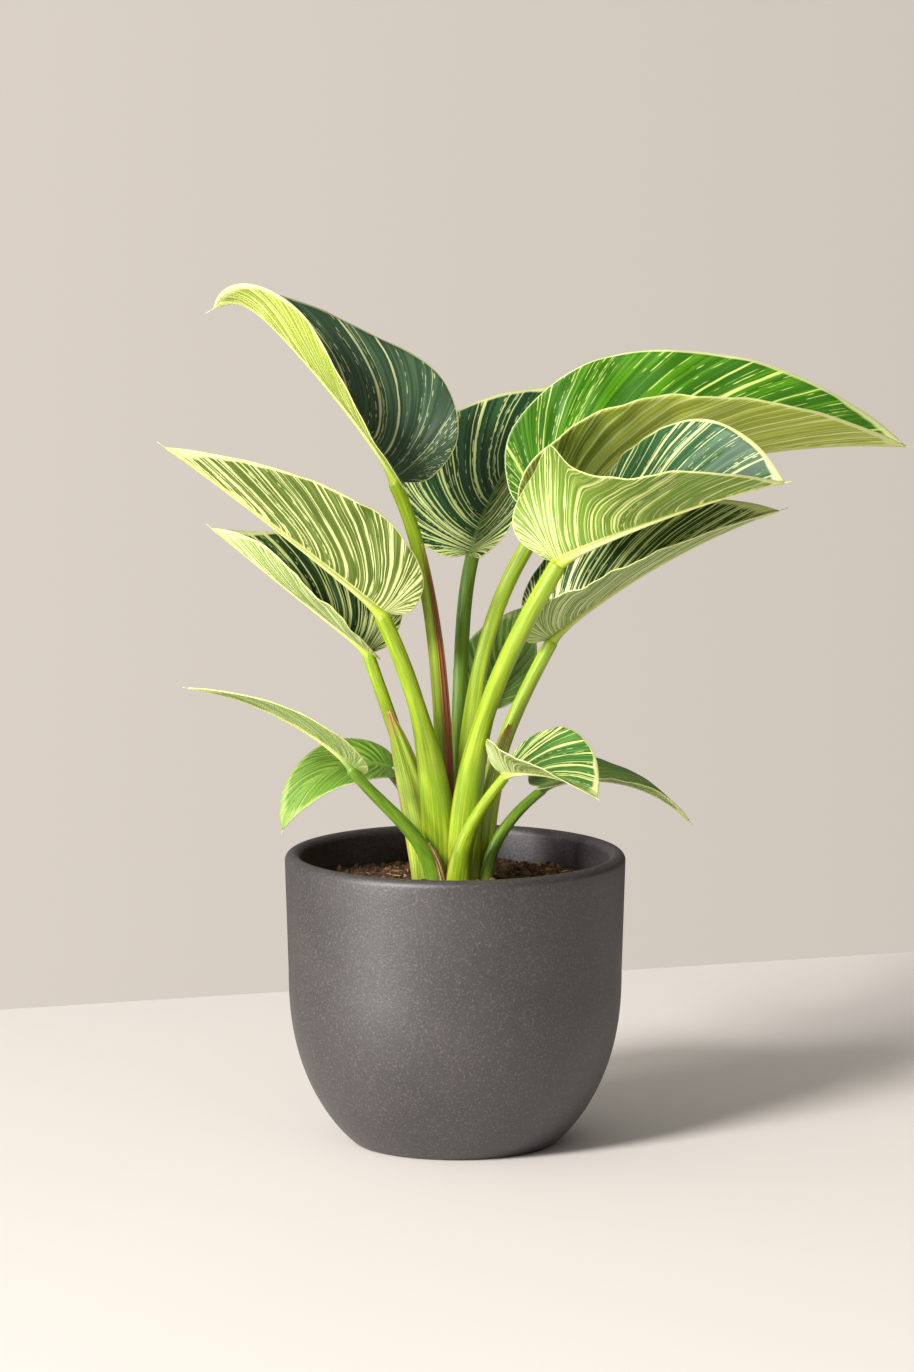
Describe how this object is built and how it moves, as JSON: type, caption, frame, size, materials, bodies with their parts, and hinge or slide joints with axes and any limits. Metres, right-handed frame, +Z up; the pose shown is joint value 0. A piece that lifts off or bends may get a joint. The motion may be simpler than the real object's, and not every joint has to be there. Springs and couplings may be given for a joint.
{
  "type": "potted philodendron",
  "caption": "Small variegated foliage plant: a rosette of striped leaves on fleshy petioles, rooted in soil in a round matt pot with a flat foot.",
  "frame": {"origin": "middle of the pot's flat foot", "axes": "+Z up along the pot's turning axis, +X to the side that the longest leaf points to, -Y the front"},
  "size_m": [0.2811, 0.1734, 0.3198],
  "materials": {
    "pot": "matt charcoal stoneware with a fine speckle",
    "soil": "loose brown peat with pale fibres and chips",
    "crown": "rough green-brown stem base",
    "leaf_striped": "satin dark green blade with cream pinstripes along its side veins",
    "leaf_plain": "satin grey-green blade with faint veins",
    "petiole": "glossy yellow-green stalk with fine lines along it",
    "cataphyll": "thin green sheath leaf with a pink point",
    "sheath": "thin red-brown dried margin",
    "bract": "dry straw-coloured scale"
  },
  "bodies": {
    "root": {"pot": "pot", "soil": "soil", "crown": "crown", "petiole_top_left": "petiole", "leaf_top_left": "leaf_striped", "petiole_upper_left": "petiole", "leaf_upper_left": "leaf_striped", "petiole_lower_left": "petiole", "leaf_lower_left": "leaf_striped", "petiole_edge_left": "petiole", "leaf_edge_left": "leaf_striped", "petiole_back_left": "petiole", "leaf_back_left": "leaf_striped", "petiole_centre": "petiole", "leaf_centre": "leaf_striped", "petiole_top_right": "petiole", "leaf_top_right": "leaf_striped", "petiole_front_right": "petiole", "leaf_front_right": "leaf_striped", "petiole_lower_right": "petiole", "leaf_lower_right": "leaf_striped", "petiole_small_front": "petiole", "leaf_small_front": "leaf_striped", "petiole_low_right": "petiole", "leaf_low_right": "leaf_plain", "petiole_back": "petiole", "leaf_back": "leaf_plain", "cataphyll_left": "cataphyll", "cataphyll_right": "cataphyll", "sheath_red": "sheath", "bract_dry": "bract"}
  },
  "joints": []
}
